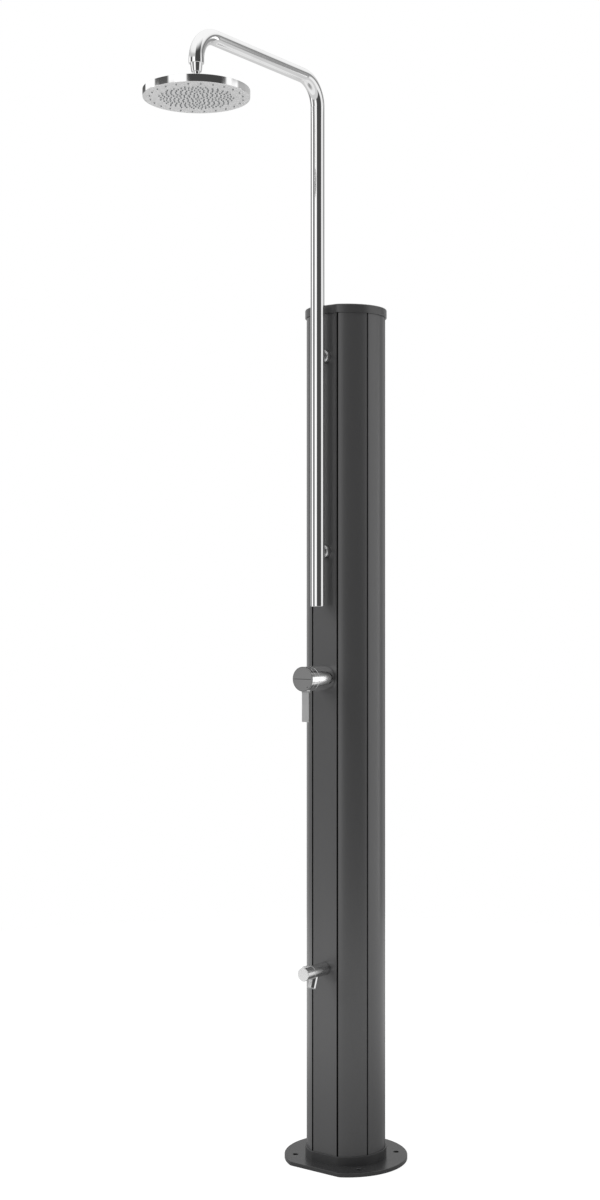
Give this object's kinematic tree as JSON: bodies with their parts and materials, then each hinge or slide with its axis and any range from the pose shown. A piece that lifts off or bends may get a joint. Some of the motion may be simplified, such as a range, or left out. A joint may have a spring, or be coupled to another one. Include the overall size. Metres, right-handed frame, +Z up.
{
  "type": "outdoor shower post",
  "caption": "Free-standing outdoor shower: dark grooved round column with a flat front on a round base, bent steel riser with a round overhead shower, lever mixer and low foot tap.",
  "frame": {"origin": "middle of the base plate's underside, on the column's axis, at ground level", "axes": "+Z up along the column; the flat front panel, mixer, tap and arm face -Y; +X is to the right for someone facing the front"},
  "size_m": [0.25, 0.6964, 2.181],
  "materials": {
    "anthracite_coat": "satin anthracite powder coat on extruded aluminium",
    "anthracite_steel": "satin anthracite powder coat on steel plate",
    "cap_coat": "satin dark moulded plastic",
    "polished_steel": "mirror-polished stainless steel",
    "brushed_steel": "fine brushed stainless steel",
    "brass": "turned brass",
    "zinc_steel": "bright steel",
    "plain_aluminium": "plain mill aluminium",
    "black_rubber": "black rubber",
    "white_acetal": "white acetal and ceramic",
    "hose_rubber": "rubber hose under a fine braid",
    "grey_face": "light grey moulded plastic",
    "nozzle_silicone": "grey silicone"
  },
  "bodies": {
    "post": {"base_plate": "anthracite_steel", "base_screws": "zinc_steel", "base_collar": "cap_coat", "column_profile": "anthracite_coat", "top_cap": "cap_coat", "cap_seal": "black_rubber", "cap_screws": "zinc_steel", "tank_shelf": "plain_aluminium", "shelf_posts": "plain_aluminium", "tank_pad": "black_rubber", "tank_bottom_end": "plain_aluminium", "tank_shell": "plain_aluminium", "tank_top_end": "plain_aluminium", "tank_spacers": "black_rubber", "inlet_nipple": "brass", "inlet_gasket": "black_rubber", "inlet_backnut": "brass", "inlet_tee": "brass", "feed_hose": "hose_rubber", "tap_hose": "hose_rubber", "cold_hose": "hose_rubber", "hot_hose": "hose_rubber", "outlet_hose": "hose_rubber", "hose_nuts": "brass", "mixer_body": "brushed_steel", "mixer_gasket": "black_rubber", "mixer_backnut": "brass", "mixer_nipples": "brass", "mixer_cartridge": "white_acetal", "cartridge_nut": "brass", "tap_body": "brushed_steel", "tap_gasket": "black_rubber", "tap_backnut": "brass", "tap_tee": "brass", "tap_cartridge": "brass", "tap_spout": "polished_steel", "tap_aerator": "white_acetal", "riser_pipe": "polished_steel", "riser_plug": "polished_steel", "standoff_lower": "brushed_steel", "standoff_upper": "brushed_steel", "standoff_gaskets": "black_rubber", "standoff_backnuts": "brass", "standoff_grub_screws": "zinc_steel", "outlet_elbow": "brass", "swivel_stud": "polished_steel"},
    "mixer_lever": {"mixer_lever": "brushed_steel", "mixer_cap": "brushed_steel", "lever_screw": "zinc_steel", "mixer_stem": "brass"},
    "tap_knob": {"tap_knob": "brushed_steel", "tap_stem": "brass", "tap_grub_screw": "zinc_steel"},
    "swivel_liner": {"ball_liner": "white_acetal"},
    "swivel_nut": {"swivel_nut": "polished_steel"},
    "shower_head": {"head_shell": "polished_steel", "head_face": "grey_face", "nozzle_mat": "nozzle_silicone", "head_seal": "black_rubber"}
  },
  "joints": [
    {"name": "mixer_turn", "type": "hinge", "parent": "post", "child": "mixer_lever", "pos_m": [0, -0.135, 0.979], "axis": [0, -1, 0], "range_deg": [0, 100]},
    {"name": "tap_turn", "type": "hinge", "parent": "post", "child": "tap_knob", "pos_m": [0, -0.13, 0.397], "axis": [0, -1, 0], "range_deg": [-90, 0]},
    {"name": "head_tilt_side", "type": "hinge", "parent": "post", "child": "swivel_liner", "pos_m": [0, -0.4739, 2.073], "axis": [0, 1, 0], "range_deg": [-12, 12]},
    {"name": "head_tilt_front", "type": "hinge", "parent": "swivel_liner", "child": "swivel_nut", "pos_m": [0, -0.4739, 2.073], "axis": [1, 0, 0], "range_deg": [-12, 12]},
    {"name": "head_spin", "type": "hinge", "parent": "swivel_nut", "child": "shower_head", "pos_m": [0, -0.4739, 2.073], "axis": [0, 0, 1], "continuous": true}
  ]
}
